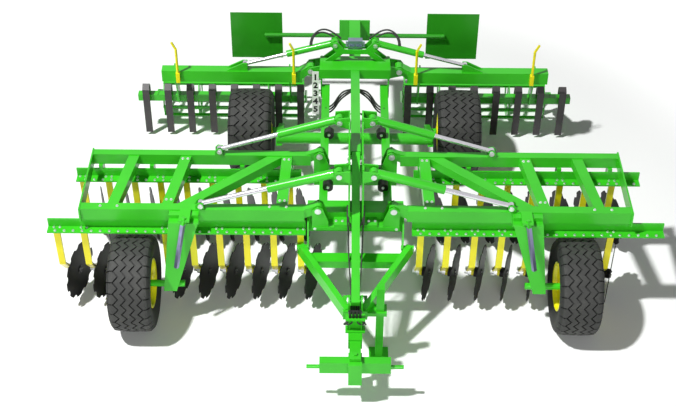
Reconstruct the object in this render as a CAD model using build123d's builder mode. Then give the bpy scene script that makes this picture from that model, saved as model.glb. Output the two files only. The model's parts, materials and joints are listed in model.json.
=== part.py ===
"""Trailed folding compact disc harrow.

Millimetres. +Z up, the ground at Z = 0, +Y to the rear, +X to the right of the direction of travel.
The origin is on the ground in the middle of the outline. Pieces of the right side are made at +X and
mirrored to the left, apart from the disc rows, where every disc of a row is turned the same way.
"""

from math import atan2, cos, degrees, radians, sin, hypot, pi
import os

from build123d import *

os.makedirs("parts", exist_ok=True)

# Driving dimensions of the frames
FRAME_TOP = 1200.0
FRAME_HALF_WIDTH = 2530.0
FRONT_BEAM_FACE_Y = -1100.0
ROW_SPACING = 810.0
FRONT_BEAM_DEPTH = 90.0
FRONT_BEAM_HEIGHT = 125.0
REAR_BEAM_DEPTH = 80.0
REAR_BEAM_HEIGHT = 117.0
PLATE = 15.0
RUNNING_GAP = 5.0
PIN_GAP = 0.5

# Driving dimensions of the working parts
DISC_RADIUS = 280.0
DISC_THICKNESS = 7.0
DISC_PITCH = 250.0
DISC_YAW = 16.0
DISC_GROUND_GAP = 12.0
GANG_FLANGE_Z = 945.0
ROLLER_RADIUS = 240.0

# Driving dimensions of the wheels
TYRE_RADIUS = 455.0
RIM_RADIUS = 235.0
GAUGE_TYRE_WIDTH = 400.0
TRANSPORT_TYRE_WIDTH = 460.0

# Hinge lines
WING_HINGE_X = 345.0
WING_HINGE_Z = 1205.0
ROLLER_HINGE_X = 470.0
ROLLER_HINGE_Z = 1050.0
HINGE_PIN_RADIUS = 22.0
KNUCKLE_RADIUS = 45.0

FRONT_BEAM_Y = FRONT_BEAM_FACE_Y + FRONT_BEAM_DEPTH / 2
REAR_BEAM_FACE_Y = FRONT_BEAM_FACE_Y + ROW_SPACING
REAR_BEAM_Y = REAR_BEAM_FACE_Y + REAR_BEAM_DEPTH / 2
SIDES = (("right", 1), ("left", -1))


def save(part, label):
    """Exports a finished piece under its own name."""
    part.label = label
    export_step(part, f"parts/{label}.step")


def save_pair(part, label):
    """Exports a right-hand piece and its mirrored left-hand twin."""
    save(part, f"{label}_right")
    save(part.mirror(Plane.YZ), f"{label}_left")


def across(x, y=0.0, z=0.0):
    """A plane facing +X whose sketch axes run along Y and Z."""
    return Plane(origin=(x, y, z), x_dir=(0, 1, 0), z_dir=(1, 0, 0))


def facing_rear(y, x=0.0, z=0.0):
    """A plane facing +Y whose sketch axes run along -X and Z."""
    return Plane(origin=(x, y, z), x_dir=(-1, 0, 0), z_dir=(0, 1, 0))


def facing_front(y, x=0.0, z=0.0):
    """A plane facing -Y whose sketch axes run along X and Z."""
    return Plane(origin=(x, y, z), x_dir=(1, 0, 0), z_dir=(0, -1, 0))


def level(z, x=0.0, y=0.0):
    """A plane facing +Z whose sketch axes run along X and Y."""
    return Plane(origin=(x, y, z), x_dir=(1, 0, 0), z_dir=(0, 0, 1))


def bar(start, end, width, height):
    """A straight tube's outside between two points, its height kept upright."""
    along = Vector(*end) - Vector(*start)
    side = Vector(0, 0, 1).cross(along).normalized()
    plane = Plane(origin=start, x_dir=side, z_dir=along.normalized())
    with BuildSketch(plane) as profile:
        Rectangle(width, height)
    extrude(profile.sketch, amount=along.length)


def block(x, y, z, mode=Mode.ADD):
    """A box given by its limits along each axis."""
    with BuildSketch(level(z[0], (x[0] + x[1]) / 2, (y[0] + y[1]) / 2)) as profile:
        Rectangle(abs(x[1] - x[0]), abs(y[1] - y[0]))
    extrude(profile.sketch, amount=z[1] - z[0], mode=mode)


def side_plate(x, points, thickness=PLATE):
    """A plate across the machine at x, outlined by (y, z) points, growing toward +X."""
    with BuildSketch(across(x)) as profile:
        with BuildLine():
            Polyline(*points, close=True)
        make_face()
    extrude(profile.sketch, amount=thickness)


def rod(plane, radius, length, mode=Mode.ADD):
    """A round bar along a plane's normal."""
    with BuildSketch(plane) as profile:
        Circle(radius)
    extrude(profile.sketch, amount=length, mode=mode)


# Chassis

BOX_HALF = 430.0
BOX_Y = (-1000.0, -830.0)
BOX_Z = (870.0, 1100.0)
RAIL_X = 305.0
RAIL_WIDTH = 80.0
RAIL_Z = (860.0, 980.0)
SPINE_WIDTH = 90.0
TOWER_X = 55.0
CYLINDER_PIN_X = 155.0
CYLINDER_PIN_Z = 1615.0
TONGUE_PIVOT = (-1150.0, 800.0)
TONGUE_PIN_RADIUS = 25.0
CROSS_HALF = 370.0
CROSS_Y = (1170.0, 1335.0)
CROSS_Z = (1090.0, 1200.0)
EAR_GAP = 10.0
TOWER_PIN = (-500.0, 1350.0)

with BuildPart() as centre_frame:
    block((-BOX_HALF, BOX_HALF), BOX_Y, BOX_Z)
    for side in (-1, 1):
        plate_x = side * BOX_HALF - (0 if side > 0 else PLATE)
        side_plate(plate_x, [(BOX_Y[1], 1100), (BOX_Y[1], 870), (-1110, 755), (-1195, 770),
                             (-1195, 830), (-1130, 1040), (BOX_Y[0], 1100)])
        rod(across(plate_x, *TONGUE_PIVOT), TONGUE_PIN_RADIUS + PIN_GAP, PLATE, mode=Mode.SUBTRACT)
        for beam_y, depth in ((FRONT_BEAM_Y, FRONT_BEAM_DEPTH), (REAR_BEAM_Y, REAR_BEAM_DEPTH)):
            ear_y = depth / 2 - 12 + EAR_GAP
            for ear in (-1, 1):
                start = beam_y + ear * ear_y
                with BuildSketch(facing_rear(start if ear > 0 else start - PLATE)):
                    with BuildLine():
                        Polyline((-side * 250, 1000), (-side * 400, 1000), (-side * 400, WING_HINGE_Z),
                                 (-side * 345, WING_HINGE_Z + 45), (-side * 300, WING_HINGE_Z + 20),
                                 (-side * 250, 1080), close=True)
                    make_face()
                extrude(amount=PLATE)
            pin_start = beam_y - ear_y - PLATE - 8
            rod(facing_rear(pin_start, side * WING_HINGE_X, WING_HINGE_Z),
                HINGE_PIN_RADIUS, 2 * (ear_y + PLATE + 8))
    block((-400, 400), (FRONT_BEAM_Y - 63, BOX_Y[0]), (985, 1020))
    block((-400, 400), (REAR_BEAM_Y - 60, REAR_BEAM_Y + 60), (RAIL_Z[0], 1020))
    for side in (-1, 1):
        rail = side * RAIL_X
        block((rail - RAIL_WIDTH / 2, rail + RAIL_WIDTH / 2), (BOX_Y[1], CROSS_Y[0] + 60), RAIL_Z)
        plate_x = side * TOWER_X - (0 if side > 0 else PLATE)
        side_plate(plate_x, [(-1100, 1100), (-1105, 1560), (-1085, 1670), (-1020, 1670), (-960, 1560),
                             (-870, 1500), (-360, 1500), (-300, 1670), (-200, 1670), (-170, 1500),
                             (-150, 1020), (-310, 1020), (-420, 1180), (-760, 1180), (-850, 1100)])
        for pin_y in (FRONT_BEAM_Y, REAR_BEAM_Y):
            for ear in (-1, 1):
                start = pin_y + ear * 50 - (0 if ear > 0 else PLATE)
                with BuildSketch(facing_rear(start)):
                    with BuildLine():
                        Polyline((-side * TOWER_X, 1540), (-side * 150, 1565), (-side * 200, 1600),
                                 (-side * 195, 1655), (-side * TOWER_X, 1668), close=True)
                    make_face()
                extrude(amount=PLATE)
            rod(facing_rear(pin_y - 70, side * CYLINDER_PIN_X, CYLINDER_PIN_Z), 18, 140)
        pad_x = (45, TOWER_X) if side > 0 else (-TOWER_X, -45)
        block(pad_x, (-430, -200), (1270, 1340))
    block((-200, 200), (-1115, BOX_Y[0]), (1020, 1045))
    rod(across(-TOWER_X, *TOWER_PIN), 20, 2 * TOWER_X)
save(centre_frame.part, "centre_frame")

# Rear frame: spine, rear cross beam, side plates and the tower of the roller cylinders

SPINE_FRONT = (-440.0, 1330.0)
SPINE_REAR = (1180.0, 1150.0)
ROLLER_PIN_X = 210.0
ROLLER_PIN_Z = 1360.0
ROLLER_BEAM_Y = (1390.0, 1500.0)
ROLLER_CYLINDER_Y = 1445.0
MARKER_TUBE_Y = 2330.0
MARKER_TUBE_Z = 880.0
AXLE_PIVOT = (600.0, 740.0)

with BuildPart() as rear_frame:
    bar((0, SPINE_FRONT[0], SPINE_FRONT[1]), (0, SPINE_REAR[0], SPINE_REAR[1]), SPINE_WIDTH, SPINE_WIDTH)
    block((-CROSS_HALF, CROSS_HALF), CROSS_Y, CROSS_Z)
    for side in (-1, 1):
        plate_x = side * 345 - (0 if side > 0 else PLATE)
        side_plate(plate_x, [(1180, 1150), (1180, 860), (1260, 780), (1330, 780), (1480, 960),
                             (1560, 960), (1560, 1120), (1330, 1150)])
        hinge_plate = side * 360 - (0 if side > 0 else 110)
        for y in (ROLLER_BEAM_Y[0] - 30, ROLLER_BEAM_Y[1] + 15):
            with BuildSketch(facing_rear(y)):
                with BuildLine():
                    Polyline((-side * 345, 960), (-side * 500, 1000), (-side * 520, ROLLER_HINGE_Z),
                             (-side * 490, ROLLER_HINGE_Z + 40), (-side * 345, 1120), close=True)
                make_face()
            extrude(amount=PLATE)
        rod(facing_rear(ROLLER_BEAM_Y[0] - 36, side * ROLLER_HINGE_X, ROLLER_HINGE_Z), HINGE_PIN_RADIUS,
            ROLLER_BEAM_Y[1] - ROLLER_BEAM_Y[0] + 72)
        for ear in (-1, 1):
            start = ROLLER_CYLINDER_Y + ear * 45 - (0 if ear > 0 else PLATE)
            with BuildSketch(facing_rear(start)):
                with BuildLine():
                    Polyline((-side * 340, 1150), (-side * 250, 1150), (-side * 130, 1255), (0, 1255),
                             (0, 1300), (-side * 110, 1310), (-side * 190, 1400), (-side * 250, 1385),
                             (-side * 255, 1350), (-side * 200, 1270), close=True)
                make_face()
            extrude(amount=PLATE)
        rod(facing_rear(ROLLER_CYLINDER_Y - 62, side * ROLLER_PIN_X, ROLLER_PIN_Z), 16, 124)
    block((-CROSS_HALF, CROSS_HALF), (CROSS_Y[1], 1500), (1135, 1155))
    block((-60, 60), (CROSS_Y[1], MARKER_TUBE_Y - 25), (1020, 1100))
    block((-170, 170), (MARKER_TUBE_Y - 40, MARKER_TUBE_Y - 25), (840, 1100))
save(rear_frame.part, "rear_frame")

with BuildPart() as marker_boards:
    rod(across(-1010, MARKER_TUBE_Y, MARKER_TUBE_Z), 25, 2020)
    for side in (-1, 1):
        x = (810, 1390) if side > 0 else (-1390, -810)
        block(x, (MARKER_TUBE_Y + 25, MARKER_TUBE_Y + 30), (560, 1155))
save(marker_boards.part, "marker_boards")

with BuildPart() as depth_scale:
    block((-450, -380), (1160, 1168), (640, 1180))
    for z in (900, 1040):
        block((-382, -360), (1160, 1200), (z, z + 30))
save(depth_scale.part, "depth_scale")

with BuildPart() as valve_block:
    block((-75, 75), (1410, 1480), (1300, 1400))
save(valve_block.part, "valve_block")

# Drawbar

NOSE_HALF = 62.0
LINK_PIN = (-1845.0, 800.0)
CROSSBAR_Y = (-2300.0, -2220.0)
CROSSBAR_Z = (340.0, 470.0)
KINGPIN_Y = -2255.0
KINGPIN_RADIUS = 20.0
HEAD_Y = (-2360.0, -2200.0)
HEAD_Z = (250.0, 500.0)
NOSE_END_Y = -2095.0
LEG_X = 225.0
LEG_Y = -1750.0

with BuildPart() as drawbar:
    for side in (-1, 1):
        bar((side * 508, -1150, 790), (side * 80, -1790, 590), 55, 120)
        rod(across(423 if side > 0 else -545, *TONGUE_PIVOT), TONGUE_PIN_RADIUS, 122)
    block((-415, 415), (-1290, -1170), (670, 750))
    block((-NOSE_HALF, NOSE_HALF), (NOSE_END_Y, -1640), (440, 550))
    block((-110, 110), (-1830, -1620), (540, 640))
    for side in (-1, 1):
        side_plate(side * 50 - (0 if side > 0 else PLATE),
                   [(-1900, 550), (-1890, 800), (-1860, 840), (-1820, 840), (-1780, 790), (-1740, 550)])
    rod(across(-65, *LINK_PIN), 20, 130)
    for z in (HEAD_Z[0] - 35, HEAD_Z[1] + 5):
        block((-50, 50), (KINGPIN_Y - 55, NOSE_END_Y + 20), (z, z + 30))
    block((-50, 50), (NOSE_END_Y - 10, NOSE_END_Y + 20), (HEAD_Z[0] - 35, HEAD_Z[1] + 35))
    rod(level(HEAD_Z[0] - 50, 0, KINGPIN_Y), KINGPIN_RADIUS, HEAD_Z[1] - HEAD_Z[0] + 100)
    block((90, LEG_X + 60), (LEG_Y - 60, LEG_Y + 60), (560, 600))
    block((LEG_X - 36, LEG_X + 36), (LEG_Y - 36, LEG_Y + 36), (560, 600), Mode.SUBTRACT)
save(drawbar.part, "drawbar")

with BuildPart() as hitch_crossbar:
    block((-315, 315), CROSSBAR_Y, CROSSBAR_Z)
    block((-60, 60), HEAD_Y, HEAD_Z)
    rod(level(HEAD_Z[0], 0, KINGPIN_Y), KINGPIN_RADIUS + PIN_GAP, HEAD_Z[1] - HEAD_Z[0], mode=Mode.SUBTRACT)
    for side in (-1, 1):
        rod(across(side * 315 - (0 if side > 0 else 115), -2260, 385), 18.3, 115)
save(hitch_crossbar.part, "hitch_crossbar")

with BuildPart() as levelling_link:
    bar((0, LINK_PIN[0] - 37, LINK_PIN[1] - 15), (0, -463, 1365), 75, 75)
    for pin in (LINK_PIN, TOWER_PIN):
        rod(across(-40, *pin), 20 + PIN_GAP, 80, mode=Mode.SUBTRACT)
save(levelling_link.part, "levelling_link")

with BuildPart() as parking_leg:
    block((LEG_X - 35, LEG_X + 35), (LEG_Y - 35, LEG_Y + 35), (14, 870))
    block((LEG_X - 90, LEG_X + 90), (LEG_Y - 90, LEG_Y + 90), (0, 14))
save(parking_leg.part, "parking_leg")

# Wing frames

LUG_FRONT_X = 1415.0
LUG_REAR_X = 1300.0
LUG_FRONT_Z = 1240.0
LUG_REAR_Z = 1245.0

MEMBERS = (
    # name, x at the front beam, x at the rear beam
    ("outer rung", 2235.0, 2115.0),
    ("middle rung", 1735.0, 1615.0),
    ("inner rung", 680.0, 655.0),
    ("brace", 1620.0, 725.0),
)

with BuildPart() as wing_frame:
    block((470, FRAME_HALF_WIDTH), (FRONT_BEAM_FACE_Y, FRONT_BEAM_FACE_Y + FRONT_BEAM_DEPTH),
          (FRAME_TOP - FRONT_BEAM_HEIGHT, FRAME_TOP))
    block((430, FRAME_HALF_WIDTH), (REAR_BEAM_FACE_Y, REAR_BEAM_FACE_Y + REAR_BEAM_DEPTH),
          (FRAME_TOP - REAR_BEAM_HEIGHT, FRAME_TOP))
    for name, front_x, rear_x in MEMBERS:
        bar((front_x, FRONT_BEAM_Y, FRAME_TOP - 55), (rear_x, REAR_BEAM_Y, FRAME_TOP - 55), 100, 90)
    side_plate(FRAME_HALF_WIDTH - PLATE, [(-1110, 1205), (-195, 1205), (-195, 1080), (-1000, 1060),
                                          (-1080, 1052), (-1125, 1060)])
    for beam_y, depth in ((FRONT_BEAM_Y, FRONT_BEAM_DEPTH), (REAR_BEAM_Y, REAR_BEAM_DEPTH)):
        half = depth / 2 - 12
        with BuildSketch(facing_rear(beam_y - half)):
            with Locations((-WING_HINGE_X, WING_HINGE_Z)):
                Circle(KNUCKLE_RADIUS)
            with BuildLine():
                Polyline((-480, 1095), (-480, 1200), (-WING_HINGE_X - 10, WING_HINGE_Z + 42),
                         (-WING_HINGE_X + 5, WING_HINGE_Z - 40), close=True)
            make_face()
            with Locations((-WING_HINGE_X, WING_HINGE_Z)):
                Circle(HINGE_PIN_RADIUS + PIN_GAP, mode=Mode.SUBTRACT)
        extrude(amount=2 * half)
    for beam_y, face_y, lug_x, lug_z in ((FRONT_BEAM_Y, FRONT_BEAM_FACE_Y, LUG_FRONT_X, LUG_FRONT_Z),
                                         (REAR_BEAM_Y, REAR_BEAM_FACE_Y, LUG_REAR_X, LUG_REAR_Z)):
        for ear in (-1, 1):
            start = beam_y + ear * 25 - (0 if ear > 0 else PLATE)
            with BuildSketch(facing_rear(start)):
                with BuildLine():
                    Polyline((-lug_x + 45, 1100), (-lug_x + 26, 1262), (-lug_x - 20, 1270),
                             (-lug_x - 45, 1245), (-lug_x - 50, 1100), close=True)
                make_face()
            extrude(amount=PLATE)
save_pair(wing_frame.part, "wing_frame")

# Gang bars: an angle under each beam, hung by clamps

GANGS = (
    # name, front edge of the flange, beam face, beam depth, beam bottom, x limits of the right and left bar
    ("front_gang", -1150.0, FRONT_BEAM_FACE_Y, FRONT_BEAM_DEPTH, FRONT_BEAM_HEIGHT, (520, 2840), (-2840, -460)),
    ("rear_gang", -400.0, REAR_BEAM_FACE_Y, REAR_BEAM_DEPTH, REAR_BEAM_HEIGHT, (560, 2740), (-2690, -520)),
)
HANGERS = (1090.0, 1960.0)

for gang, flange_y, face_y, depth, height, right_span, left_span in GANGS:
    for side_name, side in SIDES:
        span = right_span if side > 0 else left_span
        with BuildPart() as gang_bar:
            block(span, (flange_y, flange_y + 100), (GANG_FLANGE_Z, GANG_FLANGE_Z + 15))
            block(span, (flange_y + 85, flange_y + 100), (GANG_FLANGE_Z, GANG_FLANGE_Z + 100))
            for x in HANGERS + (2450.0, 620.0):
                block((side * x - 20, side * x + 20), (flange_y + 85, face_y + depth),
                      (GANG_FLANGE_Z + 15, FRAME_TOP - height))
        save(gang_bar.part, f"{gang}_{side_name}")

# Disc arms and discs

ROWS = (
    # row, flange front edge, disc centre y, yaw sign, arm x for the right side, arm x for the left side
    ("front", -1150.0, -900.0, -1, (603, 853, 1103, 1353, 1603, 2353),
     (-2757, -2507, -1757, -1507, -1257, -1007, -757, -507)),
    ("rear", -400.0, -130.0, 1, (728, 978, 1228, 1478, 1728, 1978, 2228, 2478),
     (-2632, -2382, -2132, -1882, -1632, -1382, -1132, -882, -632)),
)
ARM_WIDTH = 60.0
ARM_THICKNESS = 25.0
HUB_RADIUS = 48.0
DISC_OFFSET = 110.0
HUB_SEAT = 55.0
NOTCHES = 10

for row, flange_y, disc_y, yaw_sign, right_arms, left_arms in ROWS:
    for side_name, side in SIDES:
        arm_places = right_arms if side > 0 else left_arms
        normal = (cos(radians(DISC_YAW)), yaw_sign * sin(radians(DISC_YAW)), 0)
        centre_z = DISC_RADIUS + DISC_GROUND_GAP
        with BuildPart() as disc_arms:
            for x in arm_places:
                with BuildSketch(across(x - ARM_WIDTH / 2)):
                    with BuildLine():
                        start = (flange_y + 40, GANG_FLANGE_Z - ARM_THICKNESS / 2)
                        knee = (flange_y + 60, 520)
                        foot = (disc_y, centre_z)
                        Polyline((flange_y + 75, start[1]), start, knee, foot)
                    trace(line_width=ARM_THICKNESS)
                extrude(amount=ARM_WIDTH)
                rod(Plane(origin=(x, disc_y, centre_z), x_dir=(0, 0, 1), z_dir=normal), 40, HUB_SEAT)
        save(disc_arms.part, f"{row}_disc_arms_{side_name}")
        with BuildPart() as discs:
            for x in arm_places:
                reach = DISC_OFFSET
                face = Plane(origin=(x + reach * normal[0], disc_y + reach * normal[1], centre_z),
                             x_dir=(0, 0, 1), z_dir=normal)
                with BuildSketch(face):
                    Circle(DISC_RADIUS)
                    with PolarLocations(DISC_RADIUS + 18, NOTCHES):
                        Circle(45, mode=Mode.SUBTRACT)
                extrude(amount=DISC_THICKNESS)
                with BuildSketch(face):
                    Circle(HUB_RADIUS)
                extrude(amount=HUB_SEAT - reach)
        save(discs.part, f"{row}_discs_{side_name}")

# Gauge wheels on their arms

GAUGE_Y = -1285.0
GAUGE_X = 2060.0
ARM_TOP = (1565.0, -1185.0, 1150.0)
ARM_FOOT = (1725.0, -1285.0, 400.0)

with BuildPart() as gauge_arm:
    with BuildSketch(level(ARM_FOOT[2], ARM_FOOT[0], ARM_FOOT[1])):
        Rectangle(120, 100)
    with BuildSketch(level(ARM_TOP[2], ARM_TOP[0], ARM_TOP[1])):
        Rectangle(270, 100)
    loft()
    block((1430, 1700), (ARM_TOP[1] + 20, FRONT_BEAM_FACE_Y), (1080, 1190))
    rod(across(1590, GAUGE_Y, TYRE_RADIUS), 32, 330)
save_pair(gauge_arm.part, "gauge_arm")

with BuildPart() as depth_adjuster:
    bar((1550, -1245, 1230), (1640, -1380, 740), 34, 34)
    block((1500, 1600), (-1270, -1100), (1190, 1215))
save_pair(depth_adjuster.part, "depth_adjuster")


def tyre_section(width, x):
    """Half outline of a tyre across its tread, as (radius, x) for a turn about the wheel's axis."""
    half = width / 2
    return [(RIM_RADIUS - 15, x - half * 0.62), (RIM_RADIUS + 60, x - half * 0.96),
            (RIM_RADIUS + 120, x - half), (TYRE_RADIUS - 35, x - half * 0.93),
            (TYRE_RADIUS - 6, x - half * 0.78), (TYRE_RADIUS, x - half * 0.4),
            (TYRE_RADIUS, x + half * 0.4), (TYRE_RADIUS - 6, x + half * 0.78),
            (TYRE_RADIUS - 35, x + half * 0.93), (RIM_RADIUS + 120, x + half),
            (RIM_RADIUS + 60, x + half * 0.96), (RIM_RADIUS - 15, x + half * 0.62)]


WHEELS = (
    # wheel, centre x, centre y, width, hub inner x
    ("gauge", GAUGE_X, GAUGE_Y, GAUGE_TYRE_WIDTH, 1925.0),
    ("transport", 1100.0, 1100.0, TRANSPORT_TYRE_WIDTH, 880.0),
)
for wheel, x, y, width, hub_x in WHEELS:
    section = Plane(origin=(0, y, TYRE_RADIUS), x_dir=(0, 0, 1), z_dir=(0, 1, 0))
    with BuildPart() as tyre:
        with BuildSketch(section):
            with BuildLine():
                Polyline(*tyre_section(width, x), close=True)
            make_face()
        revolve(axis=Axis((0, y, TYRE_RADIUS), (1, 0, 0)))
    save_pair(tyre.part, f"{wheel}_tyre")
    with BuildPart() as rim:
        rod(across(x - width * 0.31, y, TYRE_RADIUS), RIM_RADIUS - 15, width * 0.62)
        rod(across(x - width * 0.31, y, TYRE_RADIUS), RIM_RADIUS - 40, width * 0.27, mode=Mode.SUBTRACT)
        rod(across(x + width * 0.31, y, TYRE_RADIUS), RIM_RADIUS - 40, -width * 0.27, mode=Mode.SUBTRACT)
        rod(across(hub_x, y, TYRE_RADIUS), 70, x - hub_x)
    save_pair(rim.part, f"{wheel}_rim")

# Transport axle

with BuildPart() as transport_axle:
    rod(across(-800, *AXLE_PIVOT), 60, 1600)
    for side in (-1, 1):
        bar((side * 780, AXLE_PIVOT[0] - 30, AXLE_PIVOT[1] + 8), (side * 780, 1140, 440), 60, 140)
        rod(across(side * 780 - (0 if side > 0 else 95), 1100, TYRE_RADIUS), 40, 95)
save(transport_axle.part, "transport_axle")

with BuildPart() as axle_carrier:
    for side in (-1, 1):
        x = side * RAIL_X
        with BuildSketch(across(x - 20)):
            with BuildLine():
                Polyline((AXLE_PIVOT[0] - 110, RAIL_Z[0]), (AXLE_PIVOT[0] - 85, 700),
                         (AXLE_PIVOT[0], 640), (AXLE_PIVOT[0] + 85, 700), (AXLE_PIVOT[0] + 110, RAIL_Z[0]),
                         close=True)
            make_face()
            with Locations(AXLE_PIVOT):
                Circle(60 + PIN_GAP, mode=Mode.SUBTRACT)
        extrude(amount=40)
save(axle_carrier.part, "axle_carrier")

# Roller wings

ROLLER_BEAM_Z = (885.0, 1020.0)
TINE_BAR_Y = 1710.0
TINE_BAR_Z = 470.0
ROLLER_Y = 2040.0
LUG_ROLLER_X = 1170.0
LUG_ROLLER_Z = 1085.0
ROLLER_X = (560.0, 2150.0)
HANGER_X = (700.0, 1935.0)
CRANK_OFFSET = -52.0

with BuildPart() as roller_beam:
    block((560, 2060), ROLLER_BEAM_Y, ROLLER_BEAM_Z)
    with BuildSketch(facing_rear(ROLLER_BEAM_Y[0] + 5)):
        with Locations((-ROLLER_HINGE_X, ROLLER_HINGE_Z)):
            Circle(KNUCKLE_RADIUS)
        with BuildLine():
            Polyline((-600, 900), (-600, 1020), (-ROLLER_HINGE_X - 10, ROLLER_HINGE_Z + 42),
                     (-ROLLER_HINGE_X + 5, ROLLER_HINGE_Z - 42), close=True)
        make_face()
        with Locations((-ROLLER_HINGE_X, ROLLER_HINGE_Z)):
            Circle(HINGE_PIN_RADIUS + PIN_GAP, mode=Mode.SUBTRACT)
    extrude(amount=100)
    for ear in (-1, 1):
        start = ROLLER_CYLINDER_Y + ear * 25 - (0 if ear > 0 else PLATE)
        with BuildSketch(facing_rear(start)):
            with BuildLine():
                Polyline((-LUG_ROLLER_X + 30, 1010), (-LUG_ROLLER_X + 25, 1110), (-LUG_ROLLER_X - 25, 1110),
                         (-LUG_ROLLER_X - 220, 1010), close=True)
            make_face()
        extrude(amount=PLATE)
    block((600, 2390), (TINE_BAR_Y - 40, TINE_BAR_Y + 40), (TINE_BAR_Z - 40, TINE_BAR_Z + 40))
    for x in HANGER_X:
        side_plate(x - 8, [(ROLLER_BEAM_Y[1] - 10, 1000), (ROLLER_BEAM_Y[1] - 10, 880), (1640, 430),
                           (1760, 420), (1760, 520), (1600, 900), (1570, 1000)])
    for x in (ROLLER_X[0] - 30, ROLLER_X[1] + 15):
        side_plate(x, [(TINE_BAR_Y - 40, 430), (TINE_BAR_Y - 40, 520), (TINE_BAR_Y + 60, 520),
                       (ROLLER_Y + 40, 300), (ROLLER_Y + 40, 215), (ROLLER_Y - 60, 215)])
save_pair(roller_beam.part, "roller_beam")

with BuildPart() as cage_roller:
    for k in range(5):
        x = ROLLER_X[0] + 12 + k * (ROLLER_X[1] - ROLLER_X[0] - 24) / 4
        with BuildSketch(across(x - 5, ROLLER_Y, ROLLER_RADIUS + 8)):
            Circle(ROLLER_RADIUS - 12)
            Circle(ROLLER_RADIUS - 80, mode=Mode.SUBTRACT)
            Rectangle(50, 2 * ROLLER_RADIUS - 140)
        extrude(amount=10)
    with BuildSketch(across(ROLLER_X[0] + 5, ROLLER_Y, ROLLER_RADIUS + 8)):
        with PolarLocations(ROLLER_RADIUS - 12, 10):
            Rectangle(24, 24)
    extrude(amount=ROLLER_X[1] - ROLLER_X[0] - 10)
    rod(across(ROLLER_X[0] + 5, ROLLER_Y, ROLLER_RADIUS + 8), 20, ROLLER_X[1] - ROLLER_X[0] - 10)
save_pair(cage_roller.part, "cage_roller")

TINE_FIRST_X = 592.0
TINE_PITCH = 243.0
TINE_COUNT = 8
with BuildPart() as levelling_tines:
    for k in range(TINE_COUNT):
        x = TINE_FIRST_X + k * TINE_PITCH
        with BuildSketch(across(x - 38)):
            with BuildLine():
                Polyline((TINE_BAR_Y + 30, TINE_BAR_Z + 48), (TINE_BAR_Y + 30, 600),
                         (TINE_BAR_Y - 20, 640), (TINE_BAR_Y - 80, 600), (TINE_BAR_Y - 90, 40))
            trace(line_width=12)
        extrude(amount=76)
save_pair(levelling_tines.part, "levelling_tines")

with BuildPart() as crank_adjusters:
    for x in HANGER_X:
        rod(level(1020, x + CRANK_OFFSET, ROLLER_BEAM_Y[0] - 30), 14, 300)
        block((x + CRANK_OFFSET - 20, x + CRANK_OFFSET + 20), (ROLLER_BEAM_Y[0] - 50, ROLLER_BEAM_Y[0]), (900, 1020))
        bar((x + CRANK_OFFSET, ROLLER_BEAM_Y[0] - 30, 1315), (x + CRANK_OFFSET + 40, ROLLER_BEAM_Y[0] - 30, 1400), 20, 20)
save_pair(crank_adjusters.part, "crank_adjusters")

# Fold cylinders

BORE_START = 50.0
CYLINDERS = (
    # name, y of its plane, chassis pin, wing lug pin, barrel length, barrel radius, rod inside the barrel
    ("front_fold", FRONT_BEAM_Y, (CYLINDER_PIN_X, CYLINDER_PIN_Z), (LUG_FRONT_X, LUG_FRONT_Z), 670.0, 42.0, 60.0),
    ("rear_fold", REAR_BEAM_Y, (CYLINDER_PIN_X, CYLINDER_PIN_Z), (LUG_REAR_X, LUG_REAR_Z), 612.0, 40.0, 15.0),
    ("roller_fold", ROLLER_CYLINDER_Y, (ROLLER_PIN_X, ROLLER_PIN_Z), (LUG_ROLLER_X, LUG_ROLLER_Z), 530.0, 36.0, 60.0),
)
for name, y, pin, lug, barrel_length, barrel_radius, rod_inside in CYLINDERS:
    along = Vector(lug[0] - pin[0], 0, lug[1] - pin[1])
    reach = along.length
    direction = along.normalized()
    axis_plane = Plane(origin=(pin[0], y, pin[1]), x_dir=(0, 1, 0), z_dir=direction)
    with BuildPart() as barrel:
        with BuildSketch(axis_plane.offset(45)):
            Circle(barrel_radius)
        extrude(amount=barrel_length - 45)
        with BuildSketch(facing_rear(y - 30, pin[0], pin[1])):
            Circle(38)
        extrude(amount=60)
        with BuildSketch(axis_plane.offset(20)):
            Rectangle(60, 50)
        extrude(amount=40)
        with BuildSketch(facing_rear(y - 30, pin[0], pin[1])):
            Circle(19)
        extrude(amount=60, mode=Mode.SUBTRACT)
        with BuildSketch(axis_plane.offset(BORE_START)):
            Circle(barrel_radius * 0.62)
        extrude(amount=barrel_length - BORE_START, mode=Mode.SUBTRACT)
    save_pair(barrel.part, f"{name}_barrel")
    with BuildPart() as piston_rod:
        with BuildSketch(axis_plane.offset(barrel_length - rod_inside)):
            Circle(barrel_radius * 0.55)
        extrude(amount=reach - barrel_length + rod_inside - 20)
        with BuildSketch(facing_rear(y - 20, lug[0], lug[1])):
            Circle(30)
        extrude(amount=40)
    save_pair(piston_rod.part, f"{name}_rod")
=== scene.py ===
"""Looks of the trailed folding disc harrow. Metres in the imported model's frame: +Z up, +Y to the rear."""
import json
import math

import bmesh
import bpy
from mathutils import Matrix, Vector


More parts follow.
